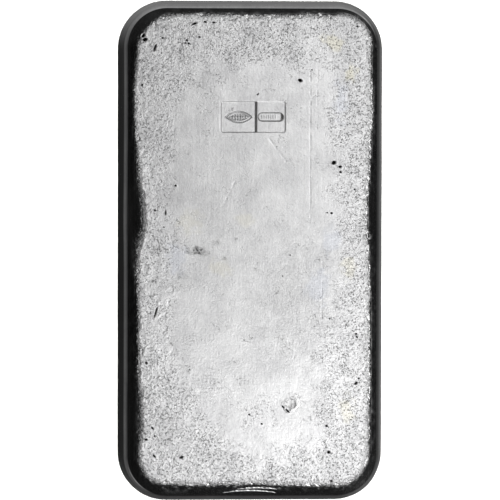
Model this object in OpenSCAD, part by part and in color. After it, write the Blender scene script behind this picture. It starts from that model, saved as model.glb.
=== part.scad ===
// Cast bar of fine silver, about one kilogram.
// It was poured into an open mould, turned out and laid on its poured face, so the
// flat face that lay on the mould's floor is now on top and carries two punch marks.
// Millimetres. Origin at the middle of the underside, +Y along the length, +Z up.

/* [Bar] */
// Length at the widest level, along Y
bar_length = 113.6; // [100:0.2:130]
// Width at the widest level, along X
bar_width = 60.2; // [50:0.2:70]
// Height from the poured face up to the mould face
bar_height = 14.8; // [12:0.1:20]
// Radius of the four upright corners at the widest level
corner_r = 11; // [9:0.5:14]
// Lean of the walls, in degrees, which lets the bar leave its mould
draft = 7; // [3:0.5:8]
// Radius of the edge around the mould face
mould_edge_r = 3.8; // [2:0.1:4.5]
// Width of the border that slopes from the flat of the mould face down to that edge
border_w = 2.4; // [1.6:0.1:3]
// Slope of that border, in degrees
border_slope = 22; // [12:1:26]
// Angle at which the border breaks into the edge's radius
edge_break = 46.5; // [40:0.5:50]
// Radius of the edge around the poured face
poured_edge_r = 2; // [1:0.1:3]

/* [Punch marks] */
// Width of the left mark along X, which was struck last and is whole
left_w = 7.8; // [6.6:0.1:9]
// Width of what the left mark leaves of the right one
right_w = 6.6; // [6.2:0.1:9]
// Length of both marks along Y
mark_l = 6.9; // [5:0.1:9]
// Corner radius of the marks
mark_corner_r = 0.4; // [0.2:0.1:1]
// Line on which the two marks meet, from the middle of the bar along X
marks_meet_x = 0.7; // [-5:0.1:5]
// Middle of the marks from the middle of the bar along Y
marks_y = 30.3; // [-35:0.1:35]
// Depth of the left mark, the deeper of the two
left_depth = 0.15; // [0.15:0.05:0.5]
// Depth of the right mark
right_depth = 0.1; // [0.1:0.05:0.5]
// Length of the pointed oval in the left mark
oval_l = 6; // [4:0.1:6.4]
// Width of the pointed oval
oval_w = 2.6; // [1.5:0.1:4]
// Length of the round-ended field in the right mark
field_l = 5.7; // [4:0.1:6]
// Width of the round-ended field
field_w = 1.9; // [1:0.1:3]
// How much deeper than their squares the oval and the field are
sink = 0.2; // [0.1:0.05:0.5]

/* [Hidden] */
$fn = 96;
// Clearance by which a cutter stands out of the face that it cuts
over = 1;

// The axes of the corners, and the lengths of the straight walls between them
post_x = bar_width / 2 - corner_r;
post_y = bar_length / 2 - corner_r;

// Centre of the poured edge's circle in the section, out from the axis of a corner
poured_u = corner_r - poured_edge_r;
// The wall is the straight line that touches the circles of both edges
poured_touch = [poured_u + poured_edge_r * cos(draft), poured_edge_r * (1 + sin(draft))];
break_v = bar_height - border_w * tan(border_slope);
mould_v = break_v - mould_edge_r * cos(edge_break);
mould_touch_v = mould_v + mould_edge_r * sin(draft);
mould_touch = [
    poured_touch[0] - (mould_touch_v - poured_touch[1]) * tan(draft),
    mould_touch_v
];
mould_u = mould_touch[0] - mould_edge_r * cos(draft);
// Where the radius breaks into the border, and where the border meets the flat face
break_u = mould_u + mould_edge_r * sin(edge_break);
face_u = break_u - border_w;

// The wall's section: u outward from the axis of a corner, v upward
module wall_section() {
    polygon([
        [0, 0],
        [poured_u, 0],
        poured_touch,
        mould_touch,
        [break_u, break_v],
        [face_u, bar_height],
        [0, bar_height]
    ]);
    translate([poured_u, poured_edge_r]) circle(poured_edge_r);
    intersection() {
        translate([mould_u, mould_v]) circle(mould_edge_r);
        square([corner_r, break_v]);
    }
}

// A straight stretch of wall that faces +X, run long along Y
module straight_wall(run) {
    rotate([90, 0, 0]) linear_extrude(run, center = true) wall_section();
}

// One of the four rounded corners, turned about its own axis, facing +X +Y
module corner() {
    rotate_extrude(angle = 90) wall_section();
}

module casting() {
    translate([-post_x, -post_y, 0]) cube([2 * post_x, 2 * post_y, bar_height]);
    for (side = [0, 180]) {
        rotate(side) translate([post_x, 0, 0]) straight_wall(2 * post_y);
        rotate(side + 90) translate([post_y, 0, 0]) straight_wall(2 * post_x);
        rotate(side) translate([post_x, post_y, 0]) corner();
        rotate(side + 90) translate([post_y, post_x, 0]) corner();
    }
}

// A rectangle with rounded corners around the origin
module rounded_rectangle(w, l, r) {
    square([w - 2 * r, l], center = true);
    square([w, l - 2 * r], center = true);
    for (x = [-1, 1], y = [-1, 1])
        translate([x * (w / 2 - r), y * (l / 2 - r)]) circle(r);
}

// A bar with round ends, l long and w wide
module round_ended_bar(l, w) {
    square([l - w, w], center = true);
    for (x = [-1, 1])
        translate([x * (l - w) / 2, 0]) circle(w / 2);
}

// An oval with pointed ends, where two large circles overlap
module pointed_oval(l, w) {
    r = (l * l + w * w) / (4 * w);
    intersection() {
        translate([0, r - w / 2]) circle(r);
        translate([0, w / 2 - r]) circle(r);
    }
}

// Cuts its 2D child into the mould face, depth deep
module sunk(depth) {
    translate([0, 0, bar_height - depth]) linear_extrude(depth + over) children();
}

// A mark w wide around a middle at x, with its 2D child sunk deeper inside it
module punch_mark(x, w, depth) {
    translate([x, marks_y, 0]) {
        sunk(depth) rounded_rectangle(w, mark_l, mark_corner_r);
        sunk(depth + sink) children();
    }
}

module ingot() {
    color([0.80, 0.80, 0.79]) difference() {
        casting();
        punch_mark(marks_meet_x - left_w / 2, left_w, left_depth)
            pointed_oval(oval_l, oval_w);
        punch_mark(marks_meet_x + right_w / 2, right_w, right_depth)
            round_ended_bar(field_l, field_w);
    }
}

ingot();
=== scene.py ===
"""Looks of a cast bar of fine silver, built around its packed construction.

The bar was poured into an open iron mould and turned out. It lies on its poured face, so the
face that froze against the mould's floor is on top and carries two punch marks.
Everything that shapes the bar is in millimetres here, and is turned to metres as it is built.
"""

import math

import bpy
import numpy as np
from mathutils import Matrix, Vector, noise
from mathutils.geometry import delaunay_2d_cdt


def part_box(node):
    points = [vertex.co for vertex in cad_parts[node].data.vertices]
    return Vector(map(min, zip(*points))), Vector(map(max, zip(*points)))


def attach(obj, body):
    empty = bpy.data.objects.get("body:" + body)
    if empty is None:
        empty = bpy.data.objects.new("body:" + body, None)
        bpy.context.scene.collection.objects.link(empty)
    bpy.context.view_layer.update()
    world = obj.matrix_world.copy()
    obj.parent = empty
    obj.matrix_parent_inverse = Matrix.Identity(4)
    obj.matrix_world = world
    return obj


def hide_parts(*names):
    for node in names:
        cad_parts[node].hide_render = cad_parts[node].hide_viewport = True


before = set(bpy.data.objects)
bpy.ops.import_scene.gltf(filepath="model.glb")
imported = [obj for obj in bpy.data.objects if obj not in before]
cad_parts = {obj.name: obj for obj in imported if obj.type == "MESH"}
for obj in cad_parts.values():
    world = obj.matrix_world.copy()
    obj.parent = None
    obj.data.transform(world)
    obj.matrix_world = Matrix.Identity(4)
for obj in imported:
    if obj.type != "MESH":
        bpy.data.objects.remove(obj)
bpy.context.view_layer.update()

MM = 0.001
SEED = 11

# ---------------------------------------------------------------- sizes, in millimetres

low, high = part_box("ingot")
BAR_WIDTH = (high.x - low.x) / MM
BAR_LENGTH = (high.y - low.y) / MM
BAR_HEIGHT = (high.z - low.z) / MM

# The rest repeats the construction's own driving sizes
CORNER_R = 11.0
DRAFT = math.radians(7)
MOULD_EDGE_R = 3.8
BORDER_W = 2.4
BORDER_SLOPE = math.radians(22)
EDGE_BREAK = math.radians(46.5)
POURED_EDGE_R = 2.0
LEFT_W = 7.8
RIGHT_W = 6.6
MARK_L = 6.9
MARK_CORNER_R = 0.4
MARKS_MEET_X = 0.7
MARKS_Y = 30.3
LEFT_DEPTH = 0.15
RIGHT_DEPTH = 0.10
OVAL_L = 6.0
OVAL_W = 2.6
FIELD_L = 5.7
FIELD_W = 1.9
SINK = 0.2

# The axes of the four corners
POST_X = BAR_WIDTH / 2 - CORNER_R
POST_Y = BAR_LENGTH / 2 - CORNER_R

# The wall's section: u runs outward from the axis of a corner, v upward
POURED_U = CORNER_R - POURED_EDGE_R
POURED_TOUCH_U = POURED_U + POURED_EDGE_R * math.cos(DRAFT)
POURED_TOUCH_V = POURED_EDGE_R * (1 + math.sin(DRAFT))
BREAK_V = BAR_HEIGHT - BORDER_W * math.tan(BORDER_SLOPE)
MOULD_V = BREAK_V - MOULD_EDGE_R * math.cos(EDGE_BREAK)
MOULD_TOUCH_V = MOULD_V + MOULD_EDGE_R * math.sin(DRAFT)
MOULD_TOUCH_U = POURED_TOUCH_U - (MOULD_TOUCH_V - POURED_TOUCH_V) * math.tan(DRAFT)
MOULD_U = MOULD_TOUCH_U - MOULD_EDGE_R * math.cos(DRAFT)
BREAK_U = MOULD_U + MOULD_EDGE_R * math.sin(EDGE_BREAK)
FACE_U = BREAK_U - BORDER_W
# Where the mesh's rings begin, within the border
START_U = BREAK_U - 1.6

# Rings of the mesh across the border, the wall and the poured face's edge, and the tilts in
# degrees at which rings go round the marked face's edge
BORDER_RINGS = 5
WALL_RINGS = 14
POURED_EDGE_RINGS = 9
MOULD_EDGE_TILTS = (53, 61, 71, 83)

# How far apart the mesh's points are
EDGE_SPACING = 0.3
BELT_SPACING = 0.27
MIDDLE_SPACING = 0.42
FINE_SPACING = 0.12
UNDERSIDE_SPACING = 1.4
# How wide the belt along the face's edges is that has the closer points
BELT_WIDTH = 7.0
# How far the fine points reach out around a pit, a scratch or a mark
FINE_MARGIN = 0.25

# Gas pits in the marked face: x, y, half length, half width, turn in degrees
PITS = (
    (10.6, 38.5, 0.50, 0.36, -25),
    (18.2, 20.1, 0.52, 0.44, 30),
    (19.6, 19.2, 0.36, 0.30, 0),
    (19.7, 18.0, 0.28, 0.24, 0),
    (17.7, 8.8, 0.28, 0.24, 0),
    (16.7, 8.9, 0.18, 0.15, 0),
    (22.9, 14.1, 0.22, 0.20, 0),
    (-17.3, 14.9, 0.26, 0.24, 0),
    (-14.8, 47.4, 0.30, 0.22, 15),
    (-14.4, 46.7, 0.34, 0.20, -30),
    (-15.1, 46.8, 0.22, 0.18, 0),
    (-12.0, 48.1, 0.26, 0.22, 0),
    (-13.1, 51.1, 0.70, 0.24, 20),
    (-10.7, 51.5, 0.34, 0.22, -20),
    (-8.8, 51.4, 0.42, 0.20, 0),
    (-24.5, 48.4, 0.55, 0.40, 60),
    (-24.1, 47.5, 0.60, 0.42, 20),
    (-21.9, 45.7, 0.95, 0.27, 70),
    (-24.8, 37.4, 0.34, 0.22, 80),
    (-20.2, 47.9, 0.26, 0.20, 0),
    (23.4, 50.6, 0.26, 0.20, 0),
    (13.2, 40.9, 0.16, 0.14, 0),
    (1.1, 35.4, 0.34, 0.14, 50),
    (-21.9, 9.4, 0.26, 0.22, 0),
    (-19.5, 8.9, 0.80, 0.15, 88),
    (-19.9, 5.6, 0.16, 0.14, 0),
    (-21.7, -13.5, 1.60, 0.18, 73),
    (17.3, -14.9, 0.16, 0.14, 0),
    (6.7, -5.3, 0.15, 0.13, 0),
    (8.4, -0.6, 0.15, 0.13, 0),
    (-23.8, -24.8, 0.34, 0.26, 80),
    (23.3, -29.4, 0.42, 0.28, 40),
    (23.9, -28.3, 0.24, 0.20, 0),
    (23.3, -18.3, 0.24, 0.20, 0),
    (23.5, -19.0, 0.28, 0.20, -40),
    (-0.7, -36.4, 0.24, 0.18, 0),
    (2.1, -38.5, 0.22, 0.18, 0),
    (16.7, -39.0, 0.28, 0.25, 0),
    (17.2, -44.9, 0.38, 0.34, 0),
    (17.8, -51.4, 0.28, 0.24, 0),
    (-15.9, -46.0, 0.50, 0.26, 20),
    (-22.4, -39.4, 0.44, 0.20, -50),
    (-21.9, -41.2, 0.22, 0.20, 0),
    (-23.8, -42.0, 0.32, 0.26, 0),
    (-22.0, -45.7, 0.50, 0.20, -45),
    (-14.1, -26.3, 0.16, 0.14, 0),
    (6.9, -34.7, 0.42, 0.18, -45),
    (7.9, -35.6, 0.60, 0.20, -45),
)

# Low rings of metal thrown up around a knock: x, y, half length, half width, turn in degrees
KNOCKS = (
    (26.0, 3.6, 0.80, 0.60, 90),
    (26.5, 1.2, 0.45, 0.35, 70),
    (8.6, -34.2, 1.50, 1.10, 60),
)

# Where the border begins further in over the marked face: x, y, spread, how much
SAGS = (
    (-26.0, 50.5, 6.0, 1.2),
    (-26.0, 7.0, 6.0, 1.95),
    (-26.0, 15.0, 10.0, 0.75),
    (-26.0, -18.0, 18.0, 0.6),
    (-26.0, -38.0, 9.0, 1.35),
    (-27.0, -49.0, 4.0, 0.25),
    (-18.0, -55.0, 4.0, 0.5),
    (27.0, -49.0, 5.0, 0.3),
    (26.0, 9.0, 8.5, 0.75),
    (24.0, 50.0, 5.0, -0.45),
    (27.0, 32.0, 6.0, -0.5),
    (-27.0, 32.0, 7.0, -0.3),
    (4.0, 54.0, 7.0, 0.4),
    (17.0, 54.0, 3.0, 0.3),
    (13.0, 54.0, 2.5, -0.3),
    (0.5, -55.0, 7.0, 0.6),
)

# Where the metal swells over the border and takes its grain along: x, y, spread, how much
SWELLS = (
    (-26.0, 6.0, 9.0, 1.0),
    (-26.0, -38.0, 9.0, 0.5),
)

# Fine straight scratches: x, y, half length, half width, turn in degrees
SCRATCHES = (
    (1.0, -50.8, 6.0, 0.22, 2),
    (12.9, 24.0, 16.5, 0.13, 90),
    (15.6, -8.6, 6.5, 0.16, 89),
    (-5.4, 13.0, 3.4, 0.14, 63),
    (5.5, 23.0, 3.4, 0.22, -53),
    (14.5, 37.0, 4.0, 0.10, 89),
)

# Marks on the colour only: x, y, half length, half width, strength. The last smudge is a wide
# faint cloud of tarnish
SMUDGES = (
    (-11.9, 0.4, 2.4, 1.3, 0.58),
    (-8.0, 2.3, 1.1, 0.6, 0.26),
    (-3.7, 2.9, 0.45, 0.4, 0.35),
    (-6.3, -1.4, 0.7, 0.5, 0.28),
    (0.5, -3.8, 0.9, 0.8, 0.26),
    (5.5, -8.9, 0.45, 0.4, 0.5),
    (-22.3, -6.6, 0.8, 0.6, 0.35),
    (-21.0, 0.4, 1.5, 1.2, 0.22),
    (-15.8, -5.5, 1.6, 1.3, 0.15),
    (8.6, -34.2, 1.6, 1.2, 0.25),
    (11.0, -12.0, 11.0, 19.0, 0.12),
)
WARM_STAINS = (
    (18.1, 47.2, 2.8, 2.2, 0.65),
    (22.1, 39.8, 1.6, 2.2, 0.7),
    (-13.9, 7.0, 3.0, 3.6, 0.3),
    (-1.5, 7.4, 2.6, 2.2, 0.3),
    (-7.1, -3.4, 3.2, 2.2, 0.3),
    (21.7, -3.4, 1.8, 3.0, 0.45),
    (21.3, -35.5, 2.0, 3.4, 0.45),
)
COOL_STAINS = (
    (-17.1, -1.8, 2.6, 4.0, 0.4),
    (14.7, -7.5, 3.0, 5.0, 0.4),
    (17.7, 2.7, 2.2, 3.0, 0.4),
    (19.9, 33.5, 2.0, 5.0, 0.4),
)

# Thin fins of metal on the front edge, where the melt folded over itself: x from, x to, y at
# both ends, how far the middle bows in
FOLDS = ((-3.4, 5.6, -53.25, 0.35), (-6.6, 5.4, -54.05, 0.5))
# Half the width and half the height of a fin
FOLD_W = 0.24
FOLD_H = 0.08

# What the skin is like at every point of the mesh, each from 0 to 1. One of them is no trait of the
# skin but painted shade, in the pits and the punch marks
TRAITS = ("stipple", "frost", "painted_shade", "smudge", "warm", "cool")


# ---------------------------------------------------------------- small helpers


def smooth(value, start, end):
    """Rises smoothly from 0 at start to 1 at end."""
    t = np.clip((value - start) / (end - start), 0, 1)
    return t * t * (3 - 2 * t)


def bump_at(value, middle, spread):
    """A soft hump, 1 at the middle."""
    return np.exp(-(((value - middle) / spread) ** 2))


def lumps(points, size, octaves=2, shift=0.0):
    """A random field from about -1 to 1, whose largest lumps are size mm across."""
    places = (points / size + shift).tolist()
    return np.array([noise.fractal(p, 1.0, 2.0, octaves) for p in places])


def turned(x, y, degrees):
    """Coordinates along and across a direction."""
    a = math.radians(degrees)
    return x * math.cos(a) + y * math.sin(a), y * math.cos(a) - x * math.sin(a)


def outward(x, y):
    """Distance out from the rectangle between the corners' axes, negative inside it."""
    over_x = np.abs(x) - POST_X
    over_y = np.abs(y) - POST_Y
    outside = np.hypot(np.maximum(over_x, 0), np.maximum(over_y, 0))
    return outside + np.minimum(np.maximum(over_x, over_y), 0)


# ---------------------------------------------------------------- the bar's top, as heights


def edge_reach(x, y):
    """How much further in the sloping border begins than its even line."""
    along_x = np.stack([x, np.zeros_like(x), np.full_like(x, 2.0)], 1)
    along_y = np.stack([np.zeros_like(x), y, np.full_like(x, 5.0)], 1)
    wander = 0.15 * (lumps(along_x, 5.0, 2) + lumps(along_y, 5.0, 2))
    front = 0.80 * smooth(-y, 44.0, 54.0)
    back = -0.15 * smooth(y, 44.0, 54.0)
    left = 0.05 * smooth(-x, 10.0, 26.0)
    reach = -0.3 + wander
    reach += front + back
    reach += left
    for px, py, spread, most in SAGS:
        reach += most * bump_at(np.hypot(x - px, y - py), 0, spread)
    return reach


def edge_drop(x, y):
    """How far the border lies under the level of the marked face, and how crazed its start is."""
    flat = np.stack([x, y, np.zeros_like(x)], 1)
    even = edge_reach(x, y) + outward(x, y) - FACE_U
    teeth = 0.5 * lumps(flat, 2.4, 2, 6.1) + 0.8 * lumps(flat, 0.8, 3, 3.3)
    beyond = np.maximum(even + teeth * np.exp(-np.maximum(even, 0) / 0.7), 0)
    return math.tan(BORDER_SLOPE) * beyond, bump_at(even, 0.2, 0.5)


def edge_sag(base, way):
    """How much lower, along the wall, the border ends where it begins further in."""
    reach = edge_reach(*(base + way * BREAK_U).T)
    slope = math.tan(BORDER_SLOPE)
    return slope * reach / (1 - slope * math.tan(DRAFT))


def stippling(points):
    """How stippled the marked face is, 0 to 1: a belt along its edges, and patches."""
    x, y = points[:, 0], points[:, 1]
    inset = FACE_U - outward(x, y)
    back = 3.0 * smooth(y, 25.0, 50.0)
    front_right = 5.0 * smooth(-y, 26.0, 50.0) * smooth(x, 0.0, 20.0)
    front_left = 9.0 * smooth(-y, 16.0, 38.0) * smooth(-x, -2.0, 14.0)
    reach = BELT_WIDTH + 4.0 * lumps(points, 12.0) + back
    reach += front_right
    reach += front_left
    belt = 1 - smooth(inset, reach - 7.0, reach + 5.0)
    patches = 0.35 * smooth(lumps(points, 9.0, 3, 5.3), -0.1, 0.8) * smooth(np.abs(y), 10, 40)
    clumps = 0.8 + 0.55 * lumps(points, 3.5, 2, 4.9)
    return np.clip(0.16 + (belt + patches) * clumps, 0, 1)


def stipple_depth(points, stipple):
    """The skin of a chilled casting: low lumps that crowd each other."""
    coarse = lumps(points, 1.25, 2)
    hollows = smooth(lumps(points, 1.7, 1, 9.1), 0.12, 0.5)
    return stipple * (0.03 + 0.035 * coarse + 0.04 * hollows)


def oval_out(x, y, half_length, half_width, turn):
    """Distance from the middle of an oval, as a share of its own half sizes."""
    along, across = turned(x, y, turn)
    return np.hypot(along / half_length, across / half_width)


def pits(x, y):
    """Depth of the gas pits, with their low lips, and how much painted shade darkens their hollows.
    """
    depth = np.zeros_like(x)
    painted_shade = np.zeros_like(x)
    for px, py, half_length, half_width, turn in PITS:
        near = np.flatnonzero(np.hypot(x - px, y - py) < 2.2 * half_length)
        out = oval_out(x[near] - px, y[near] - py, half_length, half_width, turn)
        deepest = min(0.7, 1.7 * half_width)
        hole = deepest * (1 - smooth(out, 0.35, 1.05)) - 0.035 * bump_at(out, 1.35, 0.22)
        depth[near] = np.where(np.abs(hole) > np.abs(depth[near]), hole, depth[near])
        # Painted shade, darkest in the middle of each pit
        painted_shade[near] = np.maximum(painted_shade[near], 1 - smooth(out, 0.62, 1.0))
    return depth, painted_shade


def knocks(x, y):
    """Depth of the knocks, less than nothing on the metal thrown up around them."""
    depth = np.zeros_like(x)
    for px, py, half_length, half_width, turn in KNOCKS:
        near = np.flatnonzero(np.hypot(x - px, y - py) < 2.5 * half_length)
        flat = np.stack([x[near], y[near], np.zeros(len(near))], 1)
        out = oval_out(x[near] - px, y[near] - py, half_length, half_width, turn)
        out = out + 0.22 * lumps(flat, 0.7, 2, px)
        depth[near] += 0.07 * (1 - smooth(out, 0.5, 1.0)) - 0.06 * bump_at(out, 1.1, 0.16)
    return depth


def scratches(x, y):
    """Depth of the fine scratches, which catch and miss along their way."""
    depth = np.zeros_like(x)
    for px, py, half_length, half_width, turn in SCRATCHES:
        along, across = turned(x - px, y - py, turn)
        near = np.flatnonzero((np.abs(along) < half_length) & (np.abs(across) < 4 * half_width))
        flat = np.stack([along[near], across[near], np.zeros(len(near))], 1)
        bite = smooth(lumps(flat * (1, 0, 0), 1.6, 3, px), -0.5, 0.5)
        depth[near] += 0.05 * bite * bump_at(across[near], 0, half_width)
    return depth


def spots(x, y, places):
    """Strength of a set of soft irregular spots."""
    flat = np.stack([x, y, np.zeros_like(x)], 1)
    frayed = 0.6 * lumps(flat, 1.3, 2, 7.7)
    strength = np.zeros_like(x)
    for px, py, half_length, half_width, most in places:
        out = oval_out(x - px, y - py, half_length, half_width, 0) + frayed
        strength = np.maximum(strength, most * (1 - smooth(out, 0.35, 1.1)))
    return strength


def in_square(x, y, middle, width):
    """1 inside a punch mark's square."""
    over_x = np.abs(x - middle) - width / 2 + MARK_CORNER_R
    over_y = np.abs(y - MARKS_Y) - MARK_L / 2 + MARK_CORNER_R
    out = np.hypot(np.maximum(over_x, 0), np.maximum(over_y, 0)) - MARK_CORNER_R
    return 1 - smooth(out, -0.08, 0.06)


def oval_mark(x, y):
    """Extra depth in the left square: a pointed oval filled with a plain crossed pattern."""
    r = (OVAL_L**2 + OVAL_W**2) / (4 * OVAL_W)
    x = x - MARKS_MEET_X + LEFT_W / 2
    y = np.abs(y - MARKS_Y)
    out = np.hypot(x, y + r - OVAL_W / 2) - r
    inside = 1 - smooth(out, -0.08, 0.06)
    inner_line = bump_at(out, -0.36, 0.12)
    # Lines 0.9 mm apart, crossing each other
    weave = np.cos(x * 5.4 + y * 4.4) * np.cos(x * 5.4 - y * 4.4)
    raised = smooth(weave, -0.15, 0.5) * (1 - smooth(out, -0.66, -0.5))
    raised = np.maximum(inner_line, 0.9 * raised)
    # The second value is painted shade on the oval's sunk ground between the raised lines
    return SINK * inside * (1 - 0.7 * raised), inside * (1 - raised)


def field_mark(x, y):
    """Extra depth in the right square: a round-ended field with a row of plain raised bars."""
    x = x - MARKS_MEET_X - RIGHT_W / 2
    y = y - MARKS_Y
    half = (FIELD_L - FIELD_W) / 2
    out = np.hypot(np.maximum(np.abs(x) - half, 0), y) - FIELD_W / 2
    inside = 1 - smooth(out, -0.08, 0.06)
    bars = np.zeros_like(x)
    bar_run = 1 - smooth(np.abs(y), 0.35, 0.5)
    for bar_x in np.arange(-1.9, 1.6, 0.5):
        bars = np.maximum(bars, bump_at(x, bar_x, 0.12) * bar_run)
    # The punch was held aslant and bit deeper at its right end
    heel = smooth(x, half + 0.30, half + 0.65)
    # Painted shade along the field's sunk outline and in its deeper heel, and darker bars
    mark_shade = np.maximum(0.9 * bump_at(out, -0.05, 0.14), 0.45 * bars)
    return inside * (SINK * (1 - 0.3 * bars) + 0.25 * heel), np.maximum(mark_shade, inside * heel)


def punch_marks(x, y):
    """Depth of the two marks, how much of the skin they flattened, and the painted shade in their
    sunk grounds and outlines and in the crease between them.
    """
    left = in_square(x, y, MARKS_MEET_X - LEFT_W / 2, LEFT_W)
    right = in_square(x, y, MARKS_MEET_X + RIGHT_W / 2, RIGHT_W)
    beside = 1 - smooth(np.abs(y - MARKS_Y), MARK_L / 2 - 0.1, MARK_L / 2)
    crease = bump_at(x, MARKS_MEET_X, 0.20) * beside
    oval, oval_shade = oval_mark(x, y)
    field, field_shade = field_mark(x, y)
    depth = left * (LEFT_DEPTH + oval)
    depth = np.maximum(depth, right * (RIGHT_DEPTH + field))
    depth = np.maximum(depth, 0.45 * crease)
    # Painted shade in the marks, and in the crease where they meet
    mark_shade = np.maximum(0.35 * left * oval_shade, 0.75 * right * field_shade)
    return depth, np.maximum(left, right), np.maximum(mark_shade, 0.85 * crease)


def top_surface(x, y):
    """Height of the bar's top at every point, and what the skin is like there."""
    flat = np.stack([x, y, np.zeros_like(x)], 1)
    struck, flattened, mark_shade = punch_marks(x, y)
    pit_depth, pit_shade = pits(x, y)
    stipple = stippling(flat) * (1 - 0.75 * flattened)
    drop, crazed = edge_drop(x, y)
    on_face = 1 - smooth(drop, 0.02, 0.25)
    bulge = np.zeros_like(x)
    for px, py, spread, most in SWELLS:
        bulge += most * bump_at(np.hypot(x - px, y - py), 0, spread)
    skin = 1 - smooth(drop, 0.05 + 0.4 * bulge, 0.40 + 1.0 * bulge)
    swell = 0.16 + 0.09 * lumps(flat, 13.0, 2, 2.7)
    relief = stipple_depth(flat, stipple) + swell + pit_depth + scratches(x, y)
    depth = drop + struck + skin * relief + knocks(x, y)
    height = BAR_HEIGHT - np.maximum(depth, 0)
    traits = {
        "stipple": stipple * skin + 0.8 * crazed,
        "frost": on_face,
        # Painted shade in the pits and in the punch marks
        "painted_shade": np.maximum(pit_shade, mark_shade),
        "smudge": spots(x, y, SMUDGES),
        "warm": spots(x, y, WARM_STAINS),
        "cool": spots(x, y, COOL_STAINS),
    }
    return height, traits


# ---------------------------------------------------------------- the mesh


def around():
    """Even steps around the bar: points on the corners' rectangle, and the way outward."""
    runs_x, turns, runs_y = (
        round(length / EDGE_SPACING / 2) * 2
        for length in (2 * POST_X, math.pi / 2 * START_U, 2 * POST_Y)
    )
    base, way = [], []
    corners = [(POST_X, POST_Y), (-POST_X, POST_Y), (-POST_X, -POST_Y), (POST_X, -POST_Y)]
    for n, (cx, cy) in enumerate(corners):
        runs = runs_x if n % 2 == 0 else runs_y
        nx, ny = corners[(n + 1) % 4]
        for k in range(turns):
            a = math.pi / 2 * (n + k / turns)
            base.append((cx, cy))
            way.append((math.cos(a), math.sin(a)))
        a = math.pi / 2 * (n + 1)
        for k in range(runs):
            base.append((cx + (nx - cx) * k / runs, cy + (ny - cy) * k / runs))
            way.append((math.cos(a), math.sin(a)))
    return np.array(base), np.array(way)


def lattice(spacing, wanted, shake):
    """Points of an even lattice over the marked face, where wanted says so."""
    xs = np.arange(-BAR_WIDTH / 2, BAR_WIDTH / 2, spacing) + spacing / 2
    ys = np.arange(-BAR_LENGTH / 2, BAR_LENGTH / 2, spacing) + spacing / 2
    x, y = (g.ravel() for g in np.meshgrid(xs, ys))
    dice = np.random.default_rng(SEED)
    x = x + dice.uniform(-shake, shake, x.size) * spacing
    y = y + dice.uniform(-shake, shake, y.size) * spacing
    keep = wanted(x, y) & (outward(x, y) < START_U - 0.6 * spacing)
    return np.stack([x[keep], y[keep]], 1)


def needs_fine(x, y):
    """Where the punch marks and the pits are."""
    fine = x > MARKS_MEET_X - LEFT_W - FINE_MARGIN
    fine &= x < MARKS_MEET_X + RIGHT_W + FINE_MARGIN
    fine &= np.abs(y - MARKS_Y) < MARK_L / 2 + FINE_MARGIN
    for px, py, half_length, half_width, turn in PITS + KNOCKS + SCRATCHES:
        along, across = turned(x - px, y - py, turn)
        in_length = np.abs(along) < half_length + FINE_MARGIN
        fine |= in_length & (np.abs(across) < half_width + FINE_MARGIN)
    return fine


def face_points():
    """All the points inside the marked face, closest together where there is most to show."""
    def in_belt(x, y):
        return FACE_U - outward(x, y) < BELT_WIDTH

    return np.concatenate([
        lattice(FINE_SPACING, needs_fine, 0.0),
        lattice(BELT_SPACING, lambda x, y: in_belt(x, y) & ~needs_fine(x, y), 0.25),
        lattice(MIDDLE_SPACING, lambda x, y: ~in_belt(x, y) & ~needs_fine(x, y), 0.25),
    ])


def underside_points():
    """Points inside the poured face."""
    xs = np.arange(-BAR_WIDTH / 2, BAR_WIDTH / 2, UNDERSIDE_SPACING)
    ys = np.arange(-BAR_LENGTH / 2, BAR_LENGTH / 2, UNDERSIDE_SPACING)
    x, y = (g.ravel() for g in np.meshgrid(xs, ys))
    dice = np.random.default_rng(SEED + 1)
    x = x + dice.uniform(-0.2, 0.2, x.size) * UNDERSIDE_SPACING
    y = y + dice.uniform(-0.2, 0.2, y.size) * UNDERSIDE_SPACING
    keep = outward(x, y) < POURED_U - 0.6 * UNDERSIDE_SPACING
    return np.stack([x[keep], y[keep]], 1)


def poured_rise(x, y):
    """The poured face shrank as it froze: a shallow dish with rings where it froze inward."""
    inset = POURED_U - outward(x, y)
    flat = np.stack([x, y, np.full_like(x, 3.0)], 1)
    wander = 1.6 * lumps(flat, 16.0, 2)
    # 4.3 mm from ring to ring
    rings = 0.5 + 0.5 * np.sin((inset + wander) * 1.45)
    dish = 0.55 * smooth(inset, 2.0, 20.0)
    skin = 0.06 * (1 + lumps(flat, 3.0, 2))
    return smooth(inset, 0.0, 3.0) * (0.09 * rings + dish + skin)


def wall_dent(places, v):
    """How far the walls, which froze against the mould's sides, lie inside their plane."""
    held = smooth(v, 0.6, 3.0) * (1 - smooth(v, MOULD_TOUCH_V - 2.0, MOULD_TOUCH_V))
    return held * (0.05 + 0.045 * lumps(places, 9.0, 2, 4.4) + 0.012 * lumps(places, 1.6, 2, 1.2))


def join_rings(first, second):
    """Faces between two closed rings of point numbers; the second may have half as many."""
    faces = []
    step = len(first) // len(second)
    for k in range(len(second)):
        a, b = second[k], second[(k + 1) % len(second)]
        upper = [first[(k * step + j) % len(first)] for j in range(step + 1)]
        if step == 1:
            faces.append((upper[0], a, b, upper[1]))
        else:
            faces += [(upper[0], a, upper[1]), (upper[1], a, b), (upper[1], b, upper[2])]
    return faces


def fill(ring_xy, inner_xy):
    """Triangles over a flat outline and the points inside it."""
    flat = [Vector(p) for p in np.concatenate([ring_xy, inner_xy]).tolist()]
    made = delaunay_2d_cdt(flat, [], [], 0, 1e-6)
    return made[2]


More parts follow.
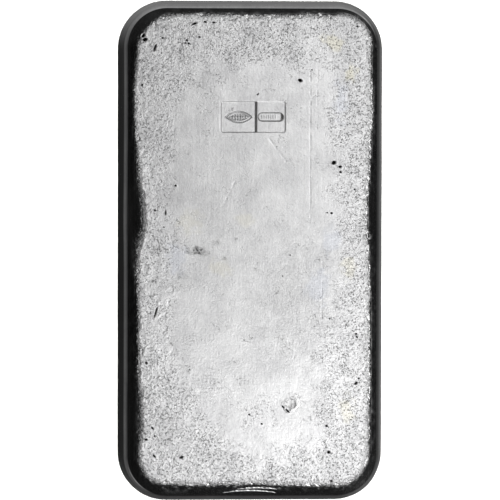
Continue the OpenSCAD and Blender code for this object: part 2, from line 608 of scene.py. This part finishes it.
def fold_fin(start, end, y, bow, sides=8, steps=70):
    """Points of a thin curved fin of metal, half sunk in the edge of the face."""
    t = np.linspace(0, 1, steps)
    x = start + (end - start) * t
    along_y = y + bow * np.sin(math.pi * t) ** 0.8
    wander = lumps(np.stack([x, along_y, np.full_like(x, 8.0)], 1), 0.8, 3)
    along_y += 0.10 * wander
    z = top_surface(x, along_y)[0]
    size = np.sqrt(np.sin(math.pi * (0.02 + 0.96 * t))) * (0.75 + 0.5 * wander)
    turns = np.arange(sides) * 2 * math.pi / sides
    points = np.stack([
        np.repeat(x, sides),
        (along_y[:, None] + FOLD_W * size[:, None] * np.cos(turns)).ravel(),
        (z[:, None] + FOLD_H * (0.3 + size[:, None] * np.sin(turns))).ravel(),
    ], 1)
    faces = []
    for ring in range(0, (steps - 1) * sides, sides):
        for c in range(sides):
            d = (c + 1) % sides
            faces.append((ring + c, ring + d, ring + sides + d, ring + sides + c))
    faces.append(tuple(range(sides))[::-1])
    faces.append(tuple(range((steps - 1) * sides, steps * sides)))
    return points, faces


class Skin:
    """The casting's skin as it grows: its points, what it is like at each, and its faces."""

    def __init__(self):
        self.points = []
        self.traits = []
        self.faces = []
        self.count = 0

    def keep(self, points, traits):
        """Takes points in and gives their numbers. A trait that isn't named is 0."""
        none = np.zeros(len(points))
        self.points.append(points)
        self.traits.append(np.stack([traits.get(name, none) for name in TRAITS], 1))
        self.count += len(points)
        return np.arange(self.count - len(points), self.count)

    def close(self, numbers, faces, way=1):
        """Takes faces in, whose corners count through numbers; way is -1 to turn them over."""
        self.faces += [tuple(numbers[list(face)[::way]].tolist()) for face in faces]


def border_rings(skin, base, way, aside):
    """The sloping border, outward and down."""
    rings = []
    for share in np.linspace(0, 1, BORDER_RINGS):
        xy = base + way * (START_U + share * (BREAK_U + aside - START_U))[:, None]
        z, traits = top_surface(xy[:, 0], xy[:, 1])
        rings.append(skin.keep(np.column_stack([xy, z]), traits))
    return rings


def mould_edge_rings(skin, base, way, aside, sag):
    """The rounded edge below the border."""
    rings = []
    for tilt in np.radians(MOULD_EDGE_TILTS):
        xy = base + way * (MOULD_U + MOULD_EDGE_R * math.sin(tilt) + aside)[:, None]
        z = MOULD_V + MOULD_EDGE_R * math.cos(tilt) - sag
        rings.append(skin.keep(np.column_stack([xy, z]), {}))
    return rings


def wall_rings(skin, base, way, sag):
    """The walls and the rounded edge of the poured face."""
    section = []
    for share in np.linspace(0, 1, WALL_RINGS)[1:]:
        v = (MOULD_TOUCH_V - sag) * (1 - share) + POURED_TOUCH_V * share
        section.append((MOULD_TOUCH_U + (MOULD_TOUCH_V - v) * math.tan(DRAFT), v))
    for turn in np.linspace(math.pi / 2 - DRAFT, math.pi, POURED_EDGE_RINGS)[1:]:
        u = POURED_U + POURED_EDGE_R * math.sin(turn)
        v = POURED_EDGE_R + POURED_EDGE_R * math.cos(turn)
        section.append((np.full(len(base), u), np.full(len(base), v)))
    rings = []
    for u, v in section:
        xy = base + way * u[:, None]
        xy = xy - way * wall_dent(np.column_stack([xy, v]), v)[:, None]
        rings.append(skin.keep(np.column_stack([xy, v]), {}))
    return rings


def marked_face(skin, ring, ring_xy):
    """The flat that froze on the mould's floor, inside the border's first ring."""
    inner = face_points()
    z, traits = top_surface(inner[:, 0], inner[:, 1])
    numbers = np.concatenate([ring, skin.keep(np.column_stack([inner, z]), traits)])
    skin.close(numbers, fill(ring_xy, inner))


def poured_face(skin, ring, ring_xy):
    """The underside, which froze in the open."""
    inner = underside_points()
    rise = poured_rise(inner[:, 0], inner[:, 1])
    half = np.full(len(inner), 0.5)
    traits = {"stipple": half * 0.6, "frost": half}
    numbers = np.concatenate([ring, skin.keep(np.column_stack([inner, rise]), traits)])
    skin.close(numbers, fill(ring_xy, inner), -1)


def ingot_mesh():
    """One closed skin: the marked face, its rounded edge, the walls and the poured face."""
    skin = Skin()
    base, way = around()
    sag = edge_sag(base, way)
    aside = sag * math.tan(DRAFT)
    rings = border_rings(skin, base, way, aside)
    face_ring, break_ring = rings[0], rings[-1]
    face_ring_xy = skin.points[0][:, :2]
    rings += mould_edge_rings(skin, base, way, aside, sag)
    # From here down, half as many points around
    rings += wall_rings(skin, base[::2], way[::2], sag[::2])
    under_ring_xy = skin.points[-1][:, :2]
    for first, second in zip(rings, rings[1:]):
        skin.faces += join_rings(first.tolist(), second.tolist())
    marked_face(skin, face_ring, face_ring_xy)
    poured_face(skin, rings[-1], under_ring_xy)
    for start, end, y, bow in FOLDS:
        fin, fin_faces = fold_fin(start, end, y, bow)
        skin.close(skin.keep(fin, {}), fin_faces)

    mesh = bpy.data.meshes.new("ingot_casting")
    mesh.from_pydata((np.concatenate(skin.points) * MM).tolist(), [], skin.faces)
    # The border breaks sharply into the rounded edge
    ends = np.zeros(2 * len(mesh.edges), dtype=np.int32)
    mesh.edges.foreach_get("vertices", ends)
    on_break = np.isin(ends, break_ring).reshape(-1, 2).all(1)
    mesh.attributes.new("sharp_edge", "BOOLEAN", "EDGE").data.foreach_set("value", on_break)
    for name, values in zip(TRAITS, np.concatenate(skin.traits).T):
        mesh.attributes.new(name, "FLOAT", "POINT").data.foreach_set("value", values.copy())
    mesh.polygons.foreach_set("use_smooth", [True] * len(mesh.polygons))
    return mesh


# ---------------------------------------------------------------- materials


def linear(code):
    """The linear colour of an sRGB hex value."""
    parts = [int(code[i:i + 2], 16) / 255 for i in (1, 3, 5)]
    return [c / 12.92 if c <= 0.04045 else ((c + 0.055) / 1.055) ** 2.4 for c in parts] + [1]


def add(tree, kind, settings=None, inputs=None):
    """Adds a node: settings are its own properties, and an input is a value or a link."""
    node = tree.nodes.new(kind)
    for name, value in (settings or {}).items():
        setattr(node, name, value)
    for name, value in (inputs or {}).items():
        if isinstance(value, bpy.types.NodeSocket):
            tree.links.new(value, node.inputs[name])
        else:
            node.inputs[name].default_value = value
    return node


# Colours of the silver: clean, tarnished, stained by warm and by cool oxide, and dark, which is oxide
# in the smudges and painted shade in the pits, creases and punch marks
CLEAN = "#F1F1F1"
TARNISHED = "#D3D3D4"
WARM = "#E9E5D3"
COOL = "#DBDFE9"
SHADE_AND_OXIDE = "#1C1B1A"

# Sizes of its patterns, in millimetres
GRAIN = 0.45
PINHOLE = 0.42
CREASE = 0.9
CREASE_GAP = 0.8
CLUSTER = 3.0
# The same for the drawn-out ones: across the bar, along it and up
RIB = (0.6, 9.0, 5.0)
CLOUD = (6.0, 7.5, 5.0)
STREAK = (0.45, 6.0, 5.0)
# How deep the shader's relief is, in millimetres
RELIEF = 0.13
# Roughness of the sleek edges and walls, and of the frosted face
SLEEK = 0.12
FROSTED = 0.34


def creases_and_pinholes(tree, place, speckle, skin):
    """Short worm-like creases between the grains, and pinholes, crowded in the stippled belts."""
    # A crease runs where a noise passes through its own middle, and another noise breaks it up
    winding = add(tree, "ShaderNodeTexNoise", {}, {
        "Vector": place, "Scale": 1 / (CREASE * MM), "Detail": 2.0,
    }).outputs["Fac"]
    beside = add(tree, "ShaderNodeMath", {"operation": "SUBTRACT"}, {0: winding, 1: 0.5}).outputs[0]
    aside = add(tree, "ShaderNodeMath", {"operation": "ABSOLUTE"}, {0: beside}).outputs[0]
    crease = add(tree, "ShaderNodeMapRange", {}, {
        "Value": aside, "From Min": 0.003, "From Max": 0.014, "To Min": 1.0, "To Max": 0.0,
    }).outputs[0]
    gaps = add(tree, "ShaderNodeTexNoise", {}, {
        "Vector": place, "Scale": 1 / (CREASE_GAP * MM), "Detail": 0.0,
    }).outputs["Fac"]
    broken = add(tree, "ShaderNodeMapRange", {}, {
        "Value": gaps, "From Min": 0.56, "From Max": 0.63,
    }).outputs[0]
    creases = add(tree, "ShaderNodeMath", {"operation": "MULTIPLY"}, {
        0: crease, 1: broken,
    }).outputs[0]
    holes = add(tree, "ShaderNodeMapRange", {}, {
        "Value": speckle, "From Min": 0.60, "From Max": 0.68,
    }).outputs[0]
    both = add(tree, "ShaderNodeMath", {"operation": "MAXIMUM"}, {0: creases, 1: holes}).outputs[0]
    # They come in clusters, and are rare in the middle of the face
    clusters = add(tree, "ShaderNodeTexNoise", {}, {
        "Vector": place, "Scale": 1 / (CLUSTER * MM), "Detail": 2.0,
    }).outputs["Fac"]
    crowded = add(tree, "ShaderNodeMath", {"operation": "MULTIPLY_ADD"}, {
        0: clusters, 1: 1.6, 2: skin["stipple"],
    }).outputs[0]
    crowded = add(tree, "ShaderNodeMapRange", {}, {
        "Value": crowded, "From Min": 0.95, "From Max": 1.75,
    }).outputs[0]
    crowded = add(tree, "ShaderNodeMath", {"operation": "MULTIPLY"}, {
        0: crowded, 1: skin["frost"],
    }).outputs[0]
    return add(tree, "ShaderNodeMath", {"operation": "MULTIPLY"}, {0: both, 1: crowded}).outputs[0]


def skin_relief(tree, grain, worms, ribs, skin):
    """The grain, strongest in the stippled belts, less the creases and holes, plus the ribs."""
    least = add(tree, "ShaderNodeMath", {"operation": "MULTIPLY"}, {
        0: skin["frost"], 1: 0.33,
    }).outputs[0]
    livelier = add(tree, "ShaderNodeMath", {"operation": "MAXIMUM"}, {
        0: skin["stipple"], 1: least,
    }).outputs[0]
    height = add(tree, "ShaderNodeMath", {"operation": "MULTIPLY"}, {
        0: grain, 1: livelier,
    }).outputs[0]
    height = add(tree, "ShaderNodeMath", {"operation": "MULTIPLY_ADD"}, {
        0: worms, 1: -0.5, 2: height,
    }).outputs[0]
    height = add(tree, "ShaderNodeMath", {"operation": "MULTIPLY_ADD"}, {
        0: ribs, 1: 0.12, 2: height,
    }).outputs[0]
    return add(tree, "ShaderNodeBump", {}, {
        "Height": height, "Distance": RELIEF * MM, "Strength": 1.0,
    }).outputs["Normal"]


def tarnished_silver(tree, grain, clouds, streaks):
    """Colour of the clean metal under slightly thicker and thinner tarnish."""
    tarnish = add(tree, "ShaderNodeMath", {"operation": "MULTIPLY_ADD"}, {
        0: streaks, 1: 0.22, 2: clouds,
    }).outputs[0]
    tarnish = add(tree, "ShaderNodeMath", {"operation": "MULTIPLY_ADD"}, {
        0: grain, 1: 0.36, 2: tarnish,
    }).outputs[0]
    tarnish = add(tree, "ShaderNodeMapRange", {}, {
        "Value": tarnish, "From Min": 0.58, "From Max": 1.0,
    }).outputs[0]
    return add(tree, "ShaderNodeMix", {"data_type": "RGBA"}, {
        "Factor": tarnish, 6: linear(CLEAN), 7: linear(TARNISHED),
    }).outputs[2]


def shade_and_oxide(tree, worms, speckle, skin):
    """How much of the dark colour there is: painted shade, full in the pits and punch marks and less
    in the creases, and grainy oxide in the smudges.
    """
    # Painted shade in the creases and pinholes
    crease_shade = add(tree, "ShaderNodeMath", {"operation": "MULTIPLY"}, {0: worms, 1: 0.50}).outputs[0]
    dark = add(tree, "ShaderNodeMath", {"operation": "MAXIMUM"}, {
        0: crease_shade, 1: skin["painted_shade"],
    }).outputs[0]
    grainy = add(tree, "ShaderNodeMapRange", {}, {
        "Value": speckle, "From Min": 0.35, "From Max": 0.6, "To Min": 0.3, "To Max": 1.5,
    }).outputs[0]
    dark = add(tree, "ShaderNodeMath", {"operation": "MULTIPLY_ADD"}, {
        0: skin["smudge"], 1: grainy, 2: dark,
    }).outputs[0]
    return add(tree, "ShaderNodeMath", {"operation": "MINIMUM"}, {0: dark, 1: 1.0}).outputs[0]


def as_cast_silver():
    """Fine silver as it left the mould. Metal: all its light is mirrored, nearly without colour.
    The face that chilled on the mould's floor is frosted, and the edges and walls are sleeker."""
    material = bpy.data.materials.new("as_cast_silver")
    material.use_nodes = True
    tree = material.node_tree
    tree.nodes.clear()
    place = add(tree, "ShaderNodeTexCoord").outputs["Object"]
    skin = {
        name: add(tree, "ShaderNodeAttribute", {"attribute_name": name}).outputs["Fac"]
        for name in TRAITS
    }
    # Places for the patterns that are drawn out along the bar
    rib_place, cloud_place, streak_place = (
        add(tree, "ShaderNodeMapping", {}, {
            "Vector": place, "Scale": [1 / (way * MM) for way in size],
        }).outputs[0]
        for size in (RIB, CLOUD, STREAK)
    )

    # Grain of the chilled skin. The real one is some 0.1 mm, and is drawn coarser so as to show
    grain = add(tree, "ShaderNodeTexNoise", {}, {
        "Vector": place, "Scale": 1 / (GRAIN * MM), "Detail": 2.0, "Roughness": 0.65,
    }).outputs["Fac"]
    # Speckle, whose peaks are the pinholes. They too are drawn coarser
    speckle = add(tree, "ShaderNodeTexNoise", {}, {
        "Vector": place, "Scale": 1 / (PINHOLE * MM), "Detail": 1.0, "Roughness": 0.7,
        "Distortion": 0.3,
    }).outputs["Fac"]
    # Faint ribs along the bar, printed by the planed floor of the mould
    ribs = add(tree, "ShaderNodeTexNoise", {}, {
        "Vector": rib_place, "Scale": 1.0, "Detail": 2.0,
    }).outputs["Fac"]
    # Clouds and streaks of tarnish, drawn out along the bar
    clouds = add(tree, "ShaderNodeTexNoise", {}, {
        "Vector": cloud_place, "Scale": 1.0, "Detail": 7.0, "Roughness": 0.70,
    }).outputs["Fac"]
    streaks = add(tree, "ShaderNodeTexNoise", {}, {
        "Vector": streak_place, "Scale": 1.0, "Detail": 2.0, "Roughness": 0.6,
    }).outputs["Fac"]

    worms = creases_and_pinholes(tree, place, speckle, skin)
    tone = tarnished_silver(tree, grain, clouds, streaks)
    # Warm and cool stains, then the dark colour: painted shade in the pits, creases and punch marks,
    # and oxide in the smudges
    for stain, colour in (
        (skin["warm"], WARM),
        (skin["cool"], COOL),
        (shade_and_oxide(tree, worms, speckle, skin), SHADE_AND_OXIDE),
    ):
        tone = add(tree, "ShaderNodeMix", {"data_type": "RGBA"}, {
            "Factor": stain, 6: tone, 7: linear(colour),
        }).outputs[2]
    roughness = add(tree, "ShaderNodeMapRange", {}, {
        "Value": skin["frost"], "To Min": SLEEK, "To Max": FROSTED,
    }).outputs[0]
    shader = add(tree, "ShaderNodeBsdfPrincipled", {}, {
        "Base Color": tone, "Metallic": 1.0, "Roughness": roughness,
        "Normal": skin_relief(tree, grain, worms, ribs, skin),
    })
    add(tree, "ShaderNodeOutputMaterial", {}, {"Surface": shader.outputs[0]})
    return material


def matt_white_board():
    """Studio board, which gives back light evenly and mirrors none."""
    material = bpy.data.materials.new("matt_white_board")
    material.use_nodes = True
    shader = material.node_tree.nodes["Principled BSDF"]
    shader.inputs["Base Color"].default_value = linear("#F2F2F0")
    shader.inputs["Roughness"].default_value = 0.9
    shader.inputs["Specular IOR Level"].default_value = 0.0
    return material


# ---------------------------------------------------------------- the studio


def floor():
    """A wide level board under the bar. The metal mirrors the studio's dark and not the board."""
    half = 3.0
    corners = [(-half, -half, 0), (half, -half, 0), (half, half, 0), (-half, half, 0)]
    mesh = bpy.data.meshes.new("floor")
    mesh.from_pydata(corners, [], [(0, 1, 2, 3)])
    board = bpy.data.objects.new("floor", mesh)
    bpy.context.scene.collection.objects.link(board)
    mesh.materials.append(matt_white_board())
    board.visible_glossy = False
    board.visible_shadow = False


def floor_lamp():
    """A wide soft lamp overhead, which lights the board only."""
    lamp = bpy.data.lights.new("floor_lamp", "SUN")
    lamp.energy = 9.0
    lamp.angle = math.radians(100)
    lamp.specular_factor = 0.0
    holder = bpy.data.objects.new("floor_lamp", lamp)
    bpy.context.scene.collection.objects.link(holder)
    holder.visible_glossy = False


# The soft lamp overhead: how high it hangs, half its size, its steps and its brightness
PANEL_HEIGHT = 250.0
PANEL_HALF = 500.0
PANEL_STEPS = 50
PANEL_GLOW = 0.640
# The middle and the half sizes of its bright part, beyond which it fades out
BRIGHT_MIDDLE = (27.0, -8.0)
BRIGHT_HALF = (88.0, 136.0)
FADE = 32.0
# Where it is softly brighter or darker: x, y, spread across, spread along, how much
PANEL_AREAS = (
    (17.0, -8.0, 23.0, 36.0, -0.34),
    (-20.0, -50.0, 32.0, 44.8, 0.36),
    (24.0, -34.0, 34.0, 46.0, -0.34),
    (50.0, 50.0, 34.0, 51.0, 0.32),
    (55.0, -66.0, 36.0, 36.0, 0.70),
)


def panel_glow(x, y):
    """How bright the lamp overhead is at every point."""
    over_x = np.abs(x - BRIGHT_MIDDLE[0]) - BRIGHT_HALF[0]
    over_y = np.abs(y - BRIGHT_MIDDLE[1]) - BRIGHT_HALF[1]
    beyond = np.hypot(np.maximum(over_x, 0), np.maximum(over_y, 0))
    # Brighter to the right, and towards both ends
    slant = 1 + 0.0058 * np.minimum(x - 15, 0) + 0.005 * np.maximum(x - 15, 0)
    slant = np.clip(slant + 0.26 * smooth(x, 26, 44), 0.45, 1.60)
    slant = slant * (1 + 0.62 * smooth(-y, 8, 62) + 0.15 * smooth(y, 30, 75))
    slant = slant * (1 - 0.05 * bump_at(y, -8, 26))
    for px, py, spread_x, spread_y, most in PANEL_AREAS:
        out = np.hypot((x - px) / spread_x, (y - py) / spread_y)
        slant = slant * (1 + most * bump_at(out, 0, 1))
    # Brighter around its middle
    ring = smooth(np.hypot(x - 15, y / 1.4), 35, 90)
    glow = PANEL_GLOW * slant * (1 + 0.52 * ring) * np.exp(-beyond / FADE)
    # Nearly dark beyond that, and faint at its far edge, which only the views from the side mirror
    glow += 0.002 + 0.008 * smooth(y, 60, 240)
    glow += 0.30 * smooth(np.hypot(x, y), 370, 480)
    return glow


def lamp_diffuser():
    """A lamp's diffuser, as bright at every point as its mesh says."""
    material = bpy.data.materials.new("lamp_diffuser")
    material.use_nodes = True
    tree = material.node_tree
    tree.nodes.clear()
    glow = add(tree, "ShaderNodeAttribute", {"attribute_name": "glow"}).outputs["Fac"]
    light = add(tree, "ShaderNodeEmission", {}, {"Color": linear("#FFFFFF"), "Strength": glow})
    add(tree, "ShaderNodeOutputMaterial", {}, {"Surface": light.outputs[0]})
    return material


def overhead_panel():
    """A soft lamp close above the bar, which the face mirrors: brighter to the front right, and
    brighter around its middle, so that the tilted facets of the stippled belts flash."""
    wide = PANEL_STEPS + 1
    line = np.linspace(-PANEL_HALF, PANEL_HALF, wide)
    x, y = (g.ravel() for g in np.meshgrid(line, line))
    points = np.stack([x, y, np.full_like(x, PANEL_HEIGHT)], 1)
    faces = [
        (r * wide + c, (r + 1) * wide + c, (r + 1) * wide + c + 1, r * wide + c + 1)
        for r in range(PANEL_STEPS) for c in range(PANEL_STEPS)
    ]
    mesh = bpy.data.meshes.new("overhead_panel")
    mesh.from_pydata((points * MM).tolist(), [], faces)
    mesh.attributes.new("glow", "FLOAT", "POINT").data.foreach_set("value", panel_glow(x, y))
    mesh.materials.append(lamp_diffuser())
    panel = bpy.data.objects.new("overhead_panel", mesh)
    bpy.context.scene.collection.objects.link(panel)
    panel.visible_camera = False
    panel.visible_diffuse = False
    panel.visible_shadow = False


# How bright the room is by the height of the direction, where -1 is straight down. Each entry has
# the way that it lies in, and how narrowly it is held to that way. Below the horizon it is what
# the edge mirrors to a camera overhead, and above it is what the bar mirrors to one at its side
ROOM = (
    # Back, front, right and left
    ((0, 1, 0), 2, (
        (-1.0, 0.09), (-0.97, 0.21), (-0.60, 0.24), (-0.20, 0.35), (-0.08, 0.14), (0.02, 0.06),
        (0.08, 0.30), (0.40, 0.30), (0.60, 0.02),
    )),
    ((0, -1, 0), 2, (
        (-1.0, 0.09), (-0.97, 0.055), (-0.40, 0.060), (-0.26, 0.006), (0.03, 0.006), (0.10, 0.45),
        (0.40, 0.45), (0.60, 0.02),
    )),
    ((1, 0, 0), 2, (
        (-1.0, 0.09), (-0.97, 0.16), (-0.60, 0.065), (-0.15, 0.012), (0.03, 0.006), (0.10, 0.45),
        (0.40, 0.45), (0.60, 0.02),
    )),
    ((-1, 0, 0), 2, (
        (-1.0, 0.05), (-0.985, 0.010), (-0.88, 0.015), (-0.68, 0.105), (-0.36, 0.09),
        (-0.12, 0.015), (0.02, 0.015), (0.10, 0.30), (0.40, 0.30), (0.60, 0.02),
    )),
    # Pale cards low at two corners, for the walls
    ((0.7, 0.7, 0), 16, ((-0.36, 0.0), (-0.28, 0.26), (0.02, 0.45), (0.08, 0.0))),
    ((-0.7, -0.7, 0), 16, ((-0.34, 0.0), (-0.28, 0.20), (0.02, 0.40), (0.08, 0.0))),
    # Pale cards standing at the other corners, for the face
    ((-0.7, 0.7, 0), 6, ((-0.97, 0.03), (0.00, 0.03), (0.10, 0.65), (0.55, 0.65), (0.66, 0.0))),
    ((0.7, -0.7, 0), 6, (
        (-0.97, 0.06), (-0.12, 0.07), (0.02, 0.02), (0.10, 0.35), (0.55, 0.35), (0.66, 0.0),
    )),
)


def room_toward(tree, z, stops):
    """Brightness by the height of the direction."""
    ramp = add(tree, "ShaderNodeValToRGB", {}, {
        "Fac": add(tree, "ShaderNodeMapRange", {}, {"Value": z, "From Min": -1.0}).outputs[0],
    })
    bands = ramp.color_ramp
    while len(bands.elements) < len(stops):
        bands.elements.new(0.5)
    for element, (height, brightness) in zip(bands.elements, stops):
        element.position = (height + 1) / 2
        element.color = (brightness, brightness, brightness, 1)
    return ramp.outputs["Color"]


def studio():
    """What the metal mirrors below and beside the overhead lamp: a dark room, paler at the back."""
    world = bpy.data.worlds.new("studio")
    bpy.context.scene.world = world
    world.use_nodes = True
    tree = world.node_tree
    tree.nodes.clear()
    way = add(tree, "ShaderNodeTexCoord").outputs["Generated"]
    z = add(tree, "ShaderNodeSeparateXYZ", {}, {0: way}).outputs["Z"]
    level = add(tree, "ShaderNodeVectorMath", {"operation": "NORMALIZE"}, {
        0: add(tree, "ShaderNodeVectorMath", {"operation": "MULTIPLY"}, {
            0: way, 1: (1, 1, 0),
        }).outputs[0],
    }).outputs[0]
    total = None
    for side, narrowness, stops in ROOM:
        facing = add(tree, "ShaderNodeVectorMath", {"operation": "DOT_PRODUCT"}, {
            0: level, 1: Vector(side).normalized(),
        }).outputs["Value"]
        facing = add(tree, "ShaderNodeMath", {"operation": "MAXIMUM"}, {0: facing, 1: 0.0}).outputs[0]
        share = add(tree, "ShaderNodeMath", {"operation": "POWER"}, {
            0: facing, 1: narrowness,
        }).outputs[0]
        light = add(tree, "ShaderNodeVectorMath", {"operation": "SCALE"}, {
            0: room_toward(tree, z, stops), "Scale": share,
        }).outputs[0]
        total = light if total is None else add(tree, "ShaderNodeVectorMath", {}, {
            0: total, 1: light,
        }).outputs[0]
    room = add(tree, "ShaderNodeBackground", {}, {"Color": total, "Strength": 1.0})
    pale = add(tree, "ShaderNodeBackground", {}, {"Color": linear("#FFFFFF"), "Strength": 1.0})
    seen = add(tree, "ShaderNodeLightPath").outputs["Is Camera Ray"]
    both = add(tree, "ShaderNodeMixShader", {}, {0: seen, 1: room.outputs[0], 2: pale.outputs[0]})
    add(tree, "ShaderNodeOutputWorld", {}, {"Surface": both.outputs[0]})


def camera():
    """Nearly straight above, leaning a little to the left and back, as far off as a long lens."""
    lean_left = math.radians(2.8)
    lean_back = math.radians(1.6)
    roll = math.radians(0.1)
    distance = 800.0
    framed = 113.75
    lens = bpy.data.cameras.new("camera")
    lens.angle = 2 * math.atan(framed / 2 / distance)
    lens.clip_start = 0.01
    lens.clip_end = 20.0
    holder = bpy.data.objects.new("camera", lens)
    bpy.context.scene.collection.objects.link(holder)
    aim = Vector((0.03, 0.17, POURED_TOUCH_V)) * MM
    holder.rotation_euler = (-lean_back, -lean_left, roll)
    back = holder.rotation_euler.to_matrix() @ Vector((0, 0, 1))
    holder.location = aim + back * distance * MM
    bpy.context.scene.camera = holder


# ---------------------------------------------------------------- putting it together

bpy.context.scene.view_settings.view_transform = "Standard"
camera()
studio()
floor()
floor_lamp()
overhead_panel()

casting = bpy.data.objects.new("ingot_casting", ingot_mesh())
bpy.context.scene.collection.objects.link(casting)
casting.data.materials.append(as_cast_silver())
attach(casting, "root")
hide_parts("ingot")
